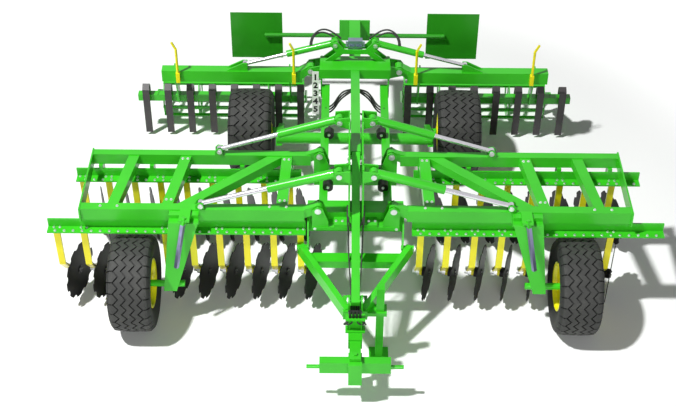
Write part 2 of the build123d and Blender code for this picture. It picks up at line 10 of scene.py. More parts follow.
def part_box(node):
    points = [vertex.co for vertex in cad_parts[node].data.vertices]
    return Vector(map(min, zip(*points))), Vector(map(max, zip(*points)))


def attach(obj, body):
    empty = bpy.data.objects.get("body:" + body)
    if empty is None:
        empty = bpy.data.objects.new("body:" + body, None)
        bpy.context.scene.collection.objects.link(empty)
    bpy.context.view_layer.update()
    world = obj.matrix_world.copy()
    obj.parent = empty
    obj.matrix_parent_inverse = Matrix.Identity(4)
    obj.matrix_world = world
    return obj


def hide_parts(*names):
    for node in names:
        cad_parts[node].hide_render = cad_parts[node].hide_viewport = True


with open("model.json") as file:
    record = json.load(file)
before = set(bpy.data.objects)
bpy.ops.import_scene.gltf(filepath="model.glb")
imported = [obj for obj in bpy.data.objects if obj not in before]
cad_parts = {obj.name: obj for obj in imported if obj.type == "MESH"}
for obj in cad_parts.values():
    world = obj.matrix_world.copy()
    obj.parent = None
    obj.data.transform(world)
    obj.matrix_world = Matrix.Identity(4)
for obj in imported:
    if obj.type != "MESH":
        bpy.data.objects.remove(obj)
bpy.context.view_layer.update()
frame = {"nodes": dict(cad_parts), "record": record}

# Camera: where the photograph was taken from, its lens worked out from the machine's known sizes

CAMERA_AT = Vector((-0.136, -10.221, 8.949))
CAMERA_PITCH = math.radians(40.0)
CAMERA_YAW = math.radians(0.17)
CAMERA_ROLL = math.radians(0.375)
CAMERA_LENS = 70.03

camera_data = bpy.data.cameras.new("camera")
camera_data.lens = CAMERA_LENS
camera_data.sensor_width = 36.0
camera = bpy.data.objects.new("camera", camera_data)
bpy.context.scene.collection.objects.link(camera)
camera.matrix_world = (
    Matrix.Translation(CAMERA_AT)
    @ Matrix.Rotation(CAMERA_YAW, 4, "Z")
    @ Matrix.Rotation(math.pi / 2 - CAMERA_PITCH, 4, "X")
    @ Matrix.Rotation(CAMERA_ROLL, 4, "Z")
)
bpy.context.scene.camera = camera


# Shader writing: a socket that can be added, multiplied and so on

class Value:
    """One output socket of a shader tree, with arithmetic."""

    def __init__(self, tree, socket):
        self.tree = tree
        self.socket = socket

    def math(self, operation, *others):
        """A Math node on this value and others, which are values or numbers."""
        node = self.tree.nodes.new("ShaderNodeMath")
        node.operation = operation
        for index, term in enumerate((self,) + others):
            if isinstance(term, Value):
                self.tree.links.new(term.socket, node.inputs[index])
            else:
                node.inputs[index].default_value = term
        return Value(self.tree, node.outputs[0])

    def __add__(self, other):
        return self.math("ADD", other)

    __radd__ = __add__

    def __mul__(self, other):
        return self.math("MULTIPLY", other)

    __rmul__ = __mul__

    def __sub__(self, other):
        return self.math("SUBTRACT", other)

    def __rsub__(self, number):
        node = self.tree.nodes.new("ShaderNodeMath")
        node.operation = "SUBTRACT"
        node.inputs[0].default_value = number
        self.tree.links.new(self.socket, node.inputs[1])
        return Value(self.tree, node.outputs[0])

    def __pow__(self, other):
        return self.math("POWER", other)

    def step(self, low, high):
        """0 below low and 1 above high, smooth between."""
        node = self.tree.nodes.new("ShaderNodeMapRange")
        node.interpolation_type = "SMOOTHSTEP"
        self.tree.links.new(self.socket, node.inputs["Value"])
        node.inputs["From Min"].default_value = low
        node.inputs["From Max"].default_value = high
        return Value(self.tree, node.outputs["Result"])


class Shader:
    """A material's node tree, built by calls."""

    def __init__(self, name):
        self.material = bpy.data.materials.new(name)
        self.material.use_nodes = True
        self.tree = self.material.node_tree
        self.surface = self.tree.nodes["Principled BSDF"]

    def node(self, kind, output=0, settings=None, **inputs):
        """A node of that kind with its inputs set or linked by name; returns one of its outputs."""
        made = self.tree.nodes.new(kind)
        for key, setting in (settings or {}).items():
            setattr(made, key, setting)
        for key, given in inputs.items():
            socket = made.inputs[key.replace("_", " ")]
            if isinstance(given, Value):
                self.tree.links.new(given.socket, socket)
            else:
                socket.default_value = given
        return Value(self.tree, made.outputs[output])

    def places(self):
        """Object coordinates: metres in the model's frame, because every piece stands at the origin."""
        return self.node("ShaderNodeTexCoord", output="Object")

    def noise(self, scale, detail=4.0, roughness=0.5, places=None):
        """Cloudy noise, about 0 to 1, with a given number of patches to the metre."""
        return self.node("ShaderNodeTexNoise", Vector=places or self.places(), Scale=scale, Detail=detail,
                         Roughness=roughness)

    def colour(self, factor, first, second):
        """A mix from the first colour to the second, as linear red, green and blue."""
        made = self.tree.nodes.new("ShaderNodeMix")
        made.data_type = "RGBA"
        self.tree.links.new(factor.socket, made.inputs["Factor"])
        for key, given in (("A", first), ("B", second)):
            socket = next(s for s in made.inputs if s.name == key and s.type == "RGBA")
            if isinstance(given, Value):
                self.tree.links.new(given.socket, socket)
            else:
                socket.default_value = (*given, 1.0)
        result = next(s for s in made.outputs if s.type == "RGBA")
        return Value(self.tree, result)

    def edge_wear(self, radius):
        """Near 1 along outer edges, 0 on flat stretches."""
        bevelled = self.node("ShaderNodeBevel", output="Normal", settings={"samples": 4}, Radius=radius)
        plain = self.node("ShaderNodeNewGeometry", output="Normal")
        made = self.tree.nodes.new("ShaderNodeVectorMath")
        made.operation = "DOT_PRODUCT"
        self.tree.links.new(bevelled.socket, made.inputs[0])
        self.tree.links.new(plain.socket, made.inputs[1])
        return 1.0 - Value(self.tree, made.outputs["Value"])

    def set(self, **inputs):
        """Sets or links inputs of the surface shader."""
        for key, given in inputs.items():
            socket = self.surface.inputs[key.replace("_", " ")]
            if isinstance(given, Value):
                self.tree.links.new(given.socket, socket)
            else:
                socket.default_value = given

    def bump(self, height, strength, distance):
        """Feeds a height to the surface's normal."""
        self.set(Normal=self.node("ShaderNodeBump", Height=height, Strength=strength, Distance=distance))


def paint(name, base, deep, worn, dust, coat=0.12, roughness=0.26):
    """Sprayed enamel: slight colour drift, orange peel, worn edges and dust low down."""
    shader = Shader(name)
    drift = shader.noise(1.7, detail=3.0)
    speck = shader.noise(34.0, detail=5.0, roughness=0.6)
    edge = shader.edge_wear(0.003).step(0.03, 0.35) * speck.step(0.60, 0.80)
    height = shader.node("ShaderNodeSeparateXYZ", output="Z", Vector=shader.places())
    dusty = (1.0 - height.step(0.05, 0.6)) * speck.step(0.45, 0.85) * 0.15
    tinted = shader.colour(drift.step(0.35, 0.7), base, deep)
    dusted = shader.colour(dusty, tinted, dust)
    shader.set(Base_Color=shader.colour(edge, dusted, worn))
    shader.set(Roughness=roughness + speck * 0.05 + dusty * 0.5 + edge * 0.15)
    shader.set(Coat_Weight=coat * (1.0 - dusty), Coat_Roughness=0.06)
    shader.set(Specular_IOR_Level=0.35 if coat else 0.18)
    shader.bump(shader.noise(260.0, detail=2.0), 0.05, 0.0004)
    return shader.material


def bare_metal(name, base, deep, roughness, metallic=1.0):
    """Metal with brushed streaks and a little tarnish."""
    shader = Shader(name)
    cloud = shader.noise(9.0, detail=5.0, roughness=0.6)
    fine = shader.noise(120.0, detail=3.0)
    shader.set(Base_Color=shader.colour(cloud.step(0.35, 0.7), base, deep), Metallic=metallic)
    shader.set(Roughness=roughness + cloud * 0.12 + fine * 0.06)
    shader.bump(fine, 0.15, 0.0004)
    return shader.material


def rubber(name, axle=None, painted_shade_radius=0.0):
    """Rubber: nearly black, finely rough; on a tyre, painted shade: nearly black below the face of the tread,
    in the grooves, between the shoulder bars and on the sidewalls.
    """
    shader = Shader(name)
    cloud = shader.noise(6.0, detail=6.0, roughness=0.65)
    grain = shader.noise(210.0, detail=3.0)
    tint = shader.colour(cloud.step(0.4, 0.75), (0.024, 0.025, 0.023), (0.042, 0.043, 0.039))
    if axle:
        split = shader.places()
        along = shader.node("ShaderNodeSeparateXYZ", output="Y", Vector=split) - axle[0]
        upward = shader.node("ShaderNodeSeparateXYZ", output="Z", Vector=split) - axle[1]
        reach = (along * along + upward * upward) ** 0.5
        # painted shade: below the tread face the rubber is made nearly black, in the grooves, the shoulder
        # gaps and on the sidewalls
        tint = shader.colour(reach.step(painted_shade_radius, painted_shade_radius + 0.005), (0.007, 0.008, 0.007), tint)
    shader.set(Base_Color=tint, Roughness=0.62 + grain * 0.2)
    shader.bump(grain, 0.25, 0.0008)
    return shader.material


LOOKS = {
    "green_paint": paint("green_enamel", (0.042, 0.520, 0.016), (0.034, 0.450, 0.013), (0.12, 0.42, 0.09),
                         (0.12, 0.30, 0.07)),
    "yellow_paint": paint("yellow_enamel", (0.88, 0.82, 0.008), (0.82, 0.72, 0.008), (0.60, 0.52, 0.10),
                          (0.45, 0.38, 0.12)),
    "disc_steel": paint("black_disc_enamel", (0.004, 0.004, 0.004), (0.007, 0.007, 0.007), (0.10, 0.10, 0.10),
                        (0.020, 0.019, 0.016), coat=0.0, roughness=0.42),
    "spring_steel": paint("dark_spring_enamel", (0.040, 0.036, 0.038), (0.055, 0.050, 0.050), (0.2, 0.2, 0.2),
                          (0.08, 0.07, 0.065), coat=0.2, roughness=0.34),
    "tyre_rubber": rubber("plain_rubber"),
    "chrome_rod": bare_metal("hard_chrome", (0.70, 0.69, 0.73), (0.62, 0.61, 0.66), 0.10),
    "scale_white": paint("white_enamel", (0.88, 0.88, 0.86), (0.84, 0.84, 0.82), (0.5, 0.5, 0.48),
                         (0.6, 0.58, 0.52)),
    "valve_metal": bare_metal("cast_alloy", (0.30, 0.36, 0.44), (0.22, 0.27, 0.34), 0.32),
}
BOARD_GREEN = paint("board_green_enamel", (0.026, 0.300, 0.012), (0.022, 0.270, 0.010), (0.08, 0.26, 0.05),
                    (0.08, 0.20, 0.05))


def screw_look(name, height):
    """The depth adjuster: enamelled above a height, bluish plated steel below it."""
    shader = Shader(name)
    cloud = shader.noise(9.0, detail=5.0, roughness=0.6)
    upward = shader.node("ShaderNodeSeparateXYZ", output="Z", Vector=shader.places())
    above = upward.step(height - 0.002, height)
    plated = shader.colour(cloud.step(0.35, 0.7), (0.36, 0.37, 0.58), (0.26, 0.27, 0.42))
    shader.set(Base_Color=shader.colour(above, plated, (0.042, 0.530, 0.016)), Metallic=(1.0 - above) * 0.85)
    shader.set(Roughness=0.26 + cloud * 0.08, Specular_IOR_Level=0.35)
    return shader.material


ENAMEL_FOOT = 1.165
SCREW_LOOK = screw_look("depth_screw", ENAMEL_FOOT)
OWN_LOOKS = {
    "marker_boards": BOARD_GREEN,
    "depth_adjuster_right": SCREW_LOOK,
    "depth_adjuster_left": SCREW_LOOK,
}
slot_of = {part["node"]: part["material_slot"] for part in frame["record"]["subparts"]}
for node, piece in frame["nodes"].items():
    piece.data.materials.clear()
    piece.data.materials.append(OWN_LOOKS.get(node, LOOKS[slot_of[node]]))


# Pieces beyond the CAD: small things that ride on its bodies

STEEL = bare_metal("zinc_bolts", (0.80, 0.81, 0.82), (0.62, 0.63, 0.66), 0.30)
HOSE = rubber("hose_rubber")
DARK = paint("dark_trim", (0.006, 0.006, 0.006), (0.010, 0.010, 0.010), (0.1, 0.1, 0.1), (0.03, 0.03, 0.028),
             coat=0.2, roughness=0.35)
SIDES = (("right", 1), ("left", -1))


def finished(name, mesh, body, look, replaced=()):
    """Puts a finished mesh in the scene on its body, with its look."""
    piece = bpy.data.objects.new(name, mesh)
    bpy.context.scene.collection.objects.link(piece)
    if not mesh.materials:
        mesh.materials.append(look)
    if replaced:
        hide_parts(*replaced)
    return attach(piece, body)


def fastener_tree():
    """Geometry Nodes: a hexagonal or round bar at each point, along its direction and scaled by its size."""
    tree = bpy.data.node_groups.new("fasteners", "GeometryNodeTree")
    tree.interface.new_socket("Places", in_out="INPUT", socket_type="NodeSocketGeometry")
    sides = tree.interface.new_socket("Sides of a round bar", in_out="INPUT", socket_type="NodeSocketInt")
    look = tree.interface.new_socket("Look", in_out="INPUT", socket_type="NodeSocketMaterial")
    tree.interface.new_socket("Fasteners", in_out="OUTPUT", socket_type="NodeSocketGeometry")
    made = {}
    for key, kind in (
            ("given", "NodeGroupInput"), ("taken", "NodeGroupOutput"),
            ("turn", "FunctionNodeAlignRotationToVector"), ("direction", "GeometryNodeInputNamedAttribute"),
            ("size", "GeometryNodeInputNamedAttribute"), ("hexagonal", "GeometryNodeInputNamedAttribute"),
            ("rounded", "FunctionNodeBooleanMath"), ("hexagon", "GeometryNodeMeshCylinder"),
            ("bar", "GeometryNodeMeshCylinder"), ("heads", "GeometryNodeInstanceOnPoints"),
            ("bars", "GeometryNodeInstanceOnPoints"), ("joined", "GeometryNodeJoinGeometry"),
            ("realized", "GeometryNodeRealizeInstances"), ("coated", "GeometryNodeSetMaterial")):
        made[key] = tree.nodes.new(kind)
    for key, kind in (("direction", "FLOAT_VECTOR"), ("size", "FLOAT_VECTOR"), ("hexagonal", "BOOLEAN")):
        made[key].data_type = kind
        made[key].inputs["Name"].default_value = key
    made["turn"].axis = "Z"
    made["rounded"].operation = "NOT"
    made["hexagon"].inputs["Vertices"].default_value = 6
    for key in ("hexagon", "bar"):
        made[key].inputs["Radius"].default_value = 1.0
        made[key].inputs["Depth"].default_value = 1.0
    for first, output, second, entry in (
            ("given", "Sides of a round bar", "bar", "Vertices"),
            ("direction", "Attribute", "turn", "Vector"),
            ("hexagonal", "Attribute", "rounded", 0), ("hexagonal", "Attribute", "heads", "Selection"),
            ("rounded", 0, "bars", "Selection"), ("hexagon", "Mesh", "heads", "Instance"),
            ("bar", "Mesh", "bars", "Instance"), ("given", "Places", "heads", "Points"),
            ("given", "Places", "bars", "Points"), ("turn", "Rotation", "heads", "Rotation"),
            ("turn", "Rotation", "bars", "Rotation"), ("size", "Attribute", "heads", "Scale"),
            ("size", "Attribute", "bars", "Scale"), ("heads", "Instances", "joined", 0),
            ("bars", "Instances", "joined", 0), ("joined", 0, "realized", 0),
            ("realized", 0, "coated", "Geometry"),
            ("given", "Look", "coated", "Material"), ("coated", 0, "taken", 0)):
        tree.links.new(made[first].outputs[output], made[second].inputs[entry])
    return tree, sides.identifier, look.identifier


FASTENER_TREE, SIDES_INPUT, LOOK_INPUT = fastener_tree()


class Fasteners:
    """Bolts, pin ends, caps and other short bars of one body, made together by the fastener tree."""

    def __init__(self, sides=20):
        self.sides = sides
        self.rows = []

    def bar(self, place, direction, radius, length, hexagonal=False):
        """A round or hexagonal bar centred on a place."""
        self.rows.append((Vector(place), Vector(direction).normalized(), (radius, radius, length), hexagonal))

    def bolt(self, place, direction, radius):
        """A hexagonal head on a washer, standing out of a face at a place."""
        outward = Vector(direction).normalized()
        self.bar(Vector(place) + outward * radius * 0.12, outward, radius * 1.35, radius * 0.3)
        self.bar(Vector(place) + outward * radius * 0.65, outward, radius, radius * 0.9, hexagonal=True)

    def pin(self, place, direction, radius, length):
        """A pin end with a smaller turned face."""
        outward = Vector(direction).normalized()
        self.bar(place, outward, radius, length)
        self.bar(Vector(place) + outward * length * 0.5, outward, radius * 0.55, length * 0.5)

    def done(self, name, body, slot, look):
        """Makes the finished piece."""
        cloud = bpy.data.meshes.new(f"{name}_places")
        cloud.from_pydata([row[0] for row in self.rows], [], [])
        for key, kind, column, field in (
                ("direction", "FLOAT_VECTOR", 1, "vector"),
                ("size", "FLOAT_VECTOR", 2, "vector"),
                ("hexagonal", "BOOLEAN", 3, "value")):
            values = cloud.attributes.new(key, kind, "POINT").data
            for row, value in zip(self.rows, values):
                setattr(value, field, row[column])
        holder = bpy.data.objects.new(f"{name}_holder", cloud)
        bpy.context.scene.collection.objects.link(holder)
        modifier = holder.modifiers.new("fasteners", "NODES")
        modifier.node_group = FASTENER_TREE
        modifier[SIDES_INPUT] = self.sides
        modifier[LOOK_INPUT] = look
        mesh = bpy.data.meshes.new_from_object(holder.evaluated_get(bpy.context.evaluated_depsgraph_get()))
        bpy.data.objects.remove(holder)
        return finished(name, mesh, body, look)


# Tyres: the outline turned about the axle, with grooves and shoulder bars sunk in the tread

BEAD_RADIUS = 0.232
LIP_ACROSS = 0.84
RIM_EDGE_ACROSS = 0.62
RIM_WEB_ACROSS = 0.08
TREAD_PERIODS = 27
PHASES = (0.0, 0.050, 0.065, 0.435, 0.450, 0.5, 0.550, 0.565, 0.935, 0.950)
RIGHT_GAPS = (True, True, False, False, False, False, False, False, False, True)
LEFT_GAPS = (False, False, False, False, True, True, True, False, False, False)
GROOVE_PLACES = (0.56, 0.19, -0.19, -0.56)
SHOULDER_PLACES = (0.955, 0.93, 0.87, 0.80, 0.74)
GROOVE_DEPTH = 0.017
BAR_DEPTH = 0.017
ZIGZAG = 0.115
# depth below the tread face where the tyre's painted shade begins
PAINTED_SHADE_DEPTH = 0.020
WHEEL_BOLTS = 8
WHEEL_BOLT_CIRCLE = 0.112
WHEEL_BOLT_RADIUS = 0.014


def through(first, middle, last, t):
    """A point of the parabola through three points, at t from 0 to 1."""
    a, b, c = (1 - t) * (1 - 2 * t), 4 * t * (1 - t), t * (2 * t - 1)
    return (a * first[0] + b * middle[0] + c * last[0], a * first[1] + b * middle[1] + c * last[1])


def tyre_columns(radius, half):
    """Lines round the tyre, bead to bead: (across, radius, zigzag share, side of the shoulder, sunk)."""
    lip = LIP_ACROSS * half
    wall = [(lip - 0.016, BEAD_RADIUS - 0.006), (lip, BEAD_RADIUS)]
    for t in (0.08, 0.2, 0.34, 0.5, 0.66, 0.8, 0.92):
        wall.append(through((lip, BEAD_RADIUS), (half, 0.345), (0.96 * half, radius - 0.036), t))

    def crown(share):
        if abs(share) > 0.76:
            return radius - 0.006 - 0.030 * ((abs(share) - 0.76) / 0.2) ** 1.7
        return radius - 0.006 * (share / 0.76) ** 2

    columns = [(across, r, 0.0, 0, False) for across, r in wall]
    for share in SHOULDER_PLACES:
        columns.append((share * half, crown(share), 0.0 if share > 0.82 else 0.5, 1, False))
    for place in GROOVE_PLACES:
        for shift, sunk in ((0.046, False), (0.036, True), (-0.036, True), (-0.046, False)):
            columns.append(((place + shift) * half, crown(place + shift), 1.0, 0, sunk))
    for share in SHOULDER_PLACES[::-1]:
        columns.append((-share * half, crown(share), 0.0 if share > 0.82 else 0.5, -1, False))
    columns += [(-across, r, 0.0, 0, False) for across, r in wall[::-1]]
    return columns


def ring_mesh(name, rows, wide):
    """A closed ring of faces through rows of points, each row with as many points."""
    points = [point for row in rows for point in row]
    faces = []
    for row in range(len(rows)):
        for column in range(wide):
            after, beside = (row + 1) % len(rows), (column + 1) % wide
            here, there = row * wide, after * wide
            faces.append((here + column, here + beside, there + beside, there + column))
    mesh = bpy.data.meshes.new(name)
    mesh.from_pydata(points, [], faces)
    shape = bmesh.new()
    shape.from_mesh(mesh)
    bmesh.ops.recalc_face_normals(shape, faces=shape.faces)
    shape.to_mesh(mesh)
    shape.free()
    return mesh


def tyre_mesh(name, centre, radius, half):
    """The tyre: its lines carried round the axle, sunk in the grooves and between the shoulder blocks."""
    columns = tyre_columns(radius, half)
    rows = []
    for period in range(TREAD_PERIODS):
        for phase, right_gap, left_gap in zip(PHASES, RIGHT_GAPS, LEFT_GAPS):
            angle = 2 * math.pi * (period + phase) / TREAD_PERIODS
            wave = (4 * abs(phase - 0.5) - 1) * ZIGZAG * half
            row = []
            for across, r, share, shoulder, sunk in columns:
                between = (shoulder > 0 and right_gap) or (shoulder < 0 and left_gap)
                depth = GROOVE_DEPTH if sunk else BAR_DEPTH if between else 0.0
                row.append((centre.x + across + wave * share, centre.y + (r - depth) * math.sin(angle),
                            centre.z + (r - depth) * math.cos(angle)))
            rows.append(row)
    mesh = ring_mesh(name, rows, len(columns))
    for face in mesh.polygons:
        column = face.index % len(columns)
        face.use_smooth = column < 8 or column > len(columns) - 10
    return mesh


def turned_ring(name, centre, outline, sides=64):
    """A closed outline of (across, radius) points turned about the axle."""
    rows = []
    for k in range(sides):
        angle = 2 * math.pi * k / sides
        rows.append([(centre.x + across, centre.y + r * math.sin(angle), centre.z + r * math.cos(angle))
                     for across, r in outline])
    mesh = ring_mesh(name, rows, len(outline))
    for face in mesh.polygons:
        face.use_smooth = True
    return mesh


for wheel in ("gauge", "transport"):
    low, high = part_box(f"{wheel}_tyre_right")
    axle = ((low.y + high.y) / 2, (low.z + high.z) / 2)
    # the tread look paints shade: nearly black from a set depth below the tread face inward
    tread_look = rubber(f"{wheel}_tyre_rubber", axle, (high.z - low.z) / 2 - PAINTED_SHADE_DEPTH)
    for side_name, side in SIDES:
        low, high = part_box(f"{wheel}_tyre_{side_name}")
        centre = (low + high) / 2
        radius = (high.z - low.z) / 2 - 0.0003
        half = (high.x - low.x) / 2 - 0.002
        finished(f"{wheel}_tread_{side_name}", tyre_mesh(f"{wheel}_tread_{side_name}", centre, radius, half),
                 f"{wheel}_wheel_{side_name}", tread_look,
                 [f"{wheel}_tyre_{side_name}"])
        # pressed rim flanges that reach the beads on both faces
        for face in (-1, 1):
            seat = RIM_EDGE_ACROSS * half
            lip = LIP_ACROSS * half
            outline = [(face * across, r) for across, r in (
                (lip + 0.006, 0.236), (lip + 0.010, 0.228), (lip + 0.002, 0.219), (lip - 0.020, 0.212),
                (seat - 0.020, 0.196), (seat - 0.020, 0.203), (lip - 0.022, 0.218), (lip - 0.004, 0.227))]
            finished(f"{wheel}_rim_flange_{side_name}_{'outer' if face == side else 'inner'}",
                     turned_ring(f"{wheel}_rim_flange", centre, outline), f"{wheel}_wheel_{side_name}",
                     LOOKS["yellow_paint"])
        # wheel bolts on both faces of the rim
        bolts = Fasteners()
        for face in (-1, 1):
            place = centre.x + side * face * half * RIM_WEB_ACROSS
            for k in range(WHEEL_BOLTS):
                angle = 2 * math.pi * (k + 0.5) / WHEEL_BOLTS
                at = (place, centre.y + WHEEL_BOLT_CIRCLE * math.sin(angle),
                      centre.z + WHEEL_BOLT_CIRCLE * math.cos(angle))
                bolts.bolt(at, (face * side, 0, 0), WHEEL_BOLT_RADIUS)
        bolts.done(f"{wheel}_wheel_bolts_{side_name}", f"{wheel}_wheel_{side_name}", "valve_metal", STEEL)


# Bolts along the frames, pin ends and hub caps of the wings

ARMS = {
    # row: flange front edge, hub y, way the discs are turned, arm x on the right and on the left
    "front": (-1.150, -0.900, -1, (0.603, 0.853, 1.103, 1.353, 1.603, 2.353),
              (-2.757, -2.507, -1.757, -1.507, -1.257, -1.007, -0.757, -0.507)),
    "rear": (-0.400, -0.130, 1, (0.728, 0.978, 1.228, 1.478, 1.728, 1.978, 2.228, 2.478),
             (-2.632, -2.382, -2.132, -1.882, -1.632, -1.382, -1.132, -0.882, -0.632)),
}
DISC_YAW = math.radians(16.0)
HUB_Z = 0.292
FLANGE_TOP = 0.960
FLANGE_BOLT_FIRST = 0.60
FLANGE_BOLT_SPACING = 0.0833
HUB_FACE_BOLTS = 5
FRAME_BOLTS = (
    # x, y, z of bolts on top of the frame: on the front beam, then on the cross members
    (0.635, -1.052, 1.200), (0.788, -1.052, 1.200), (2.18, -1.055, 1.200), (2.335, -1.055, 1.200),
    (0.655, -0.950, 1.190), (0.699, -0.950, 1.190), (0.636, -0.338, 1.190), (0.680, -0.338, 1.190),
    (1.698, -0.946, 1.190), (1.742, -0.946, 1.190), (1.602, -0.336, 1.190), (1.650, -0.336, 1.190),
)
LUG_PINS = (
    # x, z and front face y of the pins at the ends of the fold rods
    (1.415, 1.240, -1.101), (1.300, 1.245, -0.296),
)

for side_name, side in SIDES:
    bolts = Fasteners()
    for row, (flange_y, _, _, right_arms, left_arms) in ARMS.items():
        low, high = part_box(f"{row}_gang_{side_name}")
        reach = (abs(low.x) if side < 0 else high.x) - 0.05
        count = int((reach - FLANGE_BOLT_FIRST) / FLANGE_BOLT_SPACING)
        for k in range(count + 1):
            x = side * (FLANGE_BOLT_FIRST + k * FLANGE_BOLT_SPACING)
            bolts.bolt((x, flange_y + 0.020, FLANGE_TOP), (0, 0, 1), 0.0105)
        for x in right_arms if side > 0 else left_arms:
            for along in (-0.027, 0.027):
                bolts.bolt((x + along, flange_y + 0.068, FLANGE_TOP), (0, 0, 1), 0.010)
    for x, y, z in FRAME_BOLTS:
        bolts.bolt((side * x, y, z), (0, 0, 1), 0.010)
    bolts.done(f"wing_bolts_{side_name}", f"wing_{side_name}", "valve_metal", STEEL)

    pins, faces = Fasteners(sides=28), Fasteners()
    for x, z, face_y in LUG_PINS:
        pins.pin((side * x, face_y, z), (0, -1, 0), 0.024, 0.016)
    for _, hub_y, turn, right_arms, left_arms in ARMS.values():
        normal = Vector((math.cos(DISC_YAW), turn * math.sin(DISC_YAW), 0))
        upward = Vector((0, 0, 1))
        aside = normal.cross(upward)
        for x in right_arms if side > 0 else left_arms:
            hub = Vector((x, hub_y, HUB_Z))
            pins.bar(hub - normal * 0.018, normal, 0.034, 0.036)
            pins.bar(hub + normal * 0.016, normal, 0.0465, 0.030)
            faces.bar(hub + normal * 0.119, normal, 0.040, 0.008)
            for k in range(HUB_FACE_BOLTS):
                angle = 2 * math.pi * k / HUB_FACE_BOLTS
                at = hub + normal * 0.123 + (upward * math.cos(angle) + aside * math.sin(angle)) * 0.028
                faces.bolt(at, normal, 0.006)
    pins.done(f"wing_pins_and_hub_caps_{side_name}", f"wing_{side_name}", "valve_metal", STEEL)
    faces.done(f"disc_hub_faces_{side_name}", f"wing_{side_name}", "disc_steel", DARK)


# Chassis: bolts, pin ends, scale figures, hoses and couplers

pins = Fasteners(sides=28)
for side in (-1, 1):
    pins.pin((side * 0.548, -1.150, 0.800), (side, 0, 0), 0.036, 0.012)
    for y in (-1.055, -0.25):
        pins.pin((side * 0.155, y - 0.074, 1.615), (0, -1, 0), 0.026, 0.012)
        pins.pin((side * 0.345, y - 0.062, 1.205), (0, -1, 0), 0.030, 0.012)
    pins.pin((side * 0.470, 1.353, 1.050), (0, -1, 0), 0.030, 0.012)
    pins.pin((side * 0.210, 1.381, 1.360), (0, -1, 0), 0.024, 0.010)
    pins.pin((side * 0.068, -1.845, 0.800), (side, 0, 0), 0.030, 0.012)
    pins.pin((side * 0.071, -0.500, 1.350), (side, 0, 0), 0.030, 0.012)
    pins.pin((side * 0.375, -1.120, 1.0025), (0, -1, 0), 0.014, 0.010)
    for x in (0.12, 0.18):
        pins.bolt((side * x, -1.060, 1.045), (0, 0, 1), 0.010)
pins.done("chassis_bolts", "chassis", "valve_metal", STEEL)

fittings = Fasteners(sides=12)
for side in (-1, 1):
    for k in range(3):
        fittings.bar((side * (0.016 + 0.021 * k), 1.405, 1.345), (0, 1, 0), 0.0095, 0.040, hexagonal=True)
        fittings.bar((side * 0.085, 1.425, 1.330 + 0.026 * k), (1, 0, 0), 0.012, 0.030, hexagonal=True)
fittings.done("valve_fittings", "chassis", "valve_metal", LOOKS["valve_metal"])

FIGURES = (("1", 1.110), ("2", 1.008), ("3", 0.906), ("4", 0.804), ("5", 0.702))
SCALE_MIDDLE = (-0.415, 1.1590)
FIGURE_SIZE = 0.098
figures = bmesh.new()
for figure, z in FIGURES:
    writing = bpy.data.curves.new(f"figure_{figure}", "FONT")
    writing.body = figure
    writing.size = FIGURE_SIZE
    writing.offset = 0.0038
    writing.align_x = "CENTER"
    writing.align_y = "CENTER"
    holder = bpy.data.objects.new(f"figure_{figure}", writing)
    bpy.context.scene.collection.objects.link(holder)
    flat = bpy.data.meshes.new_from_object(holder)
    upright = Matrix.Rotation(math.pi / 2, 4, "X")
    flat.transform(Matrix.Translation((SCALE_MIDDLE[0], SCALE_MIDDLE[1], z)) @ upright)
    figures.from_mesh(flat)
    bpy.data.objects.remove(holder)
figure_mesh = bpy.data.meshes.new("scale_figures")
figures.to_mesh(figure_mesh)
figures.free()
finished("scale_figures", figure_mesh, "chassis", DARK)


def hose(name, body, points, radius=0.009):
    """A hose held along its whole way, its route smoothed through the given points."""
    curve = bpy.data.curves.new(name, "CURVE")
    curve.dimensions = "3D"
    curve.bevel_depth = radius
    curve.bevel_resolution = 3
    line = curve.splines.new("NURBS")
    line.points.add(len(points) - 1)
    for point, place in zip(line.points, points):
        point.co = (*place, 1.0)
    line.order_u = 3
    line.use_endpoint_u = True
    holder = bpy.data.objects.new(name, curve)
    bpy.context.scene.collection.objects.link(holder)
    mesh = bpy.data.meshes.new_from_object(holder)
    bpy.data.objects.remove(holder)
    return finished(name, mesh, body, HOSE)


def block_mesh(name, blocks):
    """Blocks as one mesh, each from its limits along x, y and z."""
    shape = bmesh.new()
    for limits in blocks:
        middle = Vector([(low + high) / 2 for low, high in limits])
        sizes = Vector([high - low for low, high in limits])
        placed = Matrix.Translation(middle) @ Matrix.Diagonal((*sizes, 1.0))
        bmesh.ops.create_cube(shape, size=1.0, matrix=placed)
    mesh = bpy.data.meshes.new(name)
    shape.to_mesh(mesh)
    shape.free()
    return mesh


# hose holder on the nose: an upright plate between two lips, and a cheek on either side
HOLDER_BLOCKS = (
    ((-0.060, 0.060), (-1.962, -1.950), (0.545, 0.700)),
    ((-0.088, 0.088), (-2.010, -1.925), (0.548, 0.564)),
    ((-0.088, 0.088), (-2.010, -1.925), (0.698, 0.710)),
    ((-0.060, -0.048), (-1.985, -1.935), (0.560, 0.700)),
    ((0.048, 0.060), (-1.985, -1.935), (0.560, 0.700)),
)
finished("hose_holder", block_mesh("hose_holder", HOLDER_BLOCKS), "chassis",
         LOOKS["green_paint"])

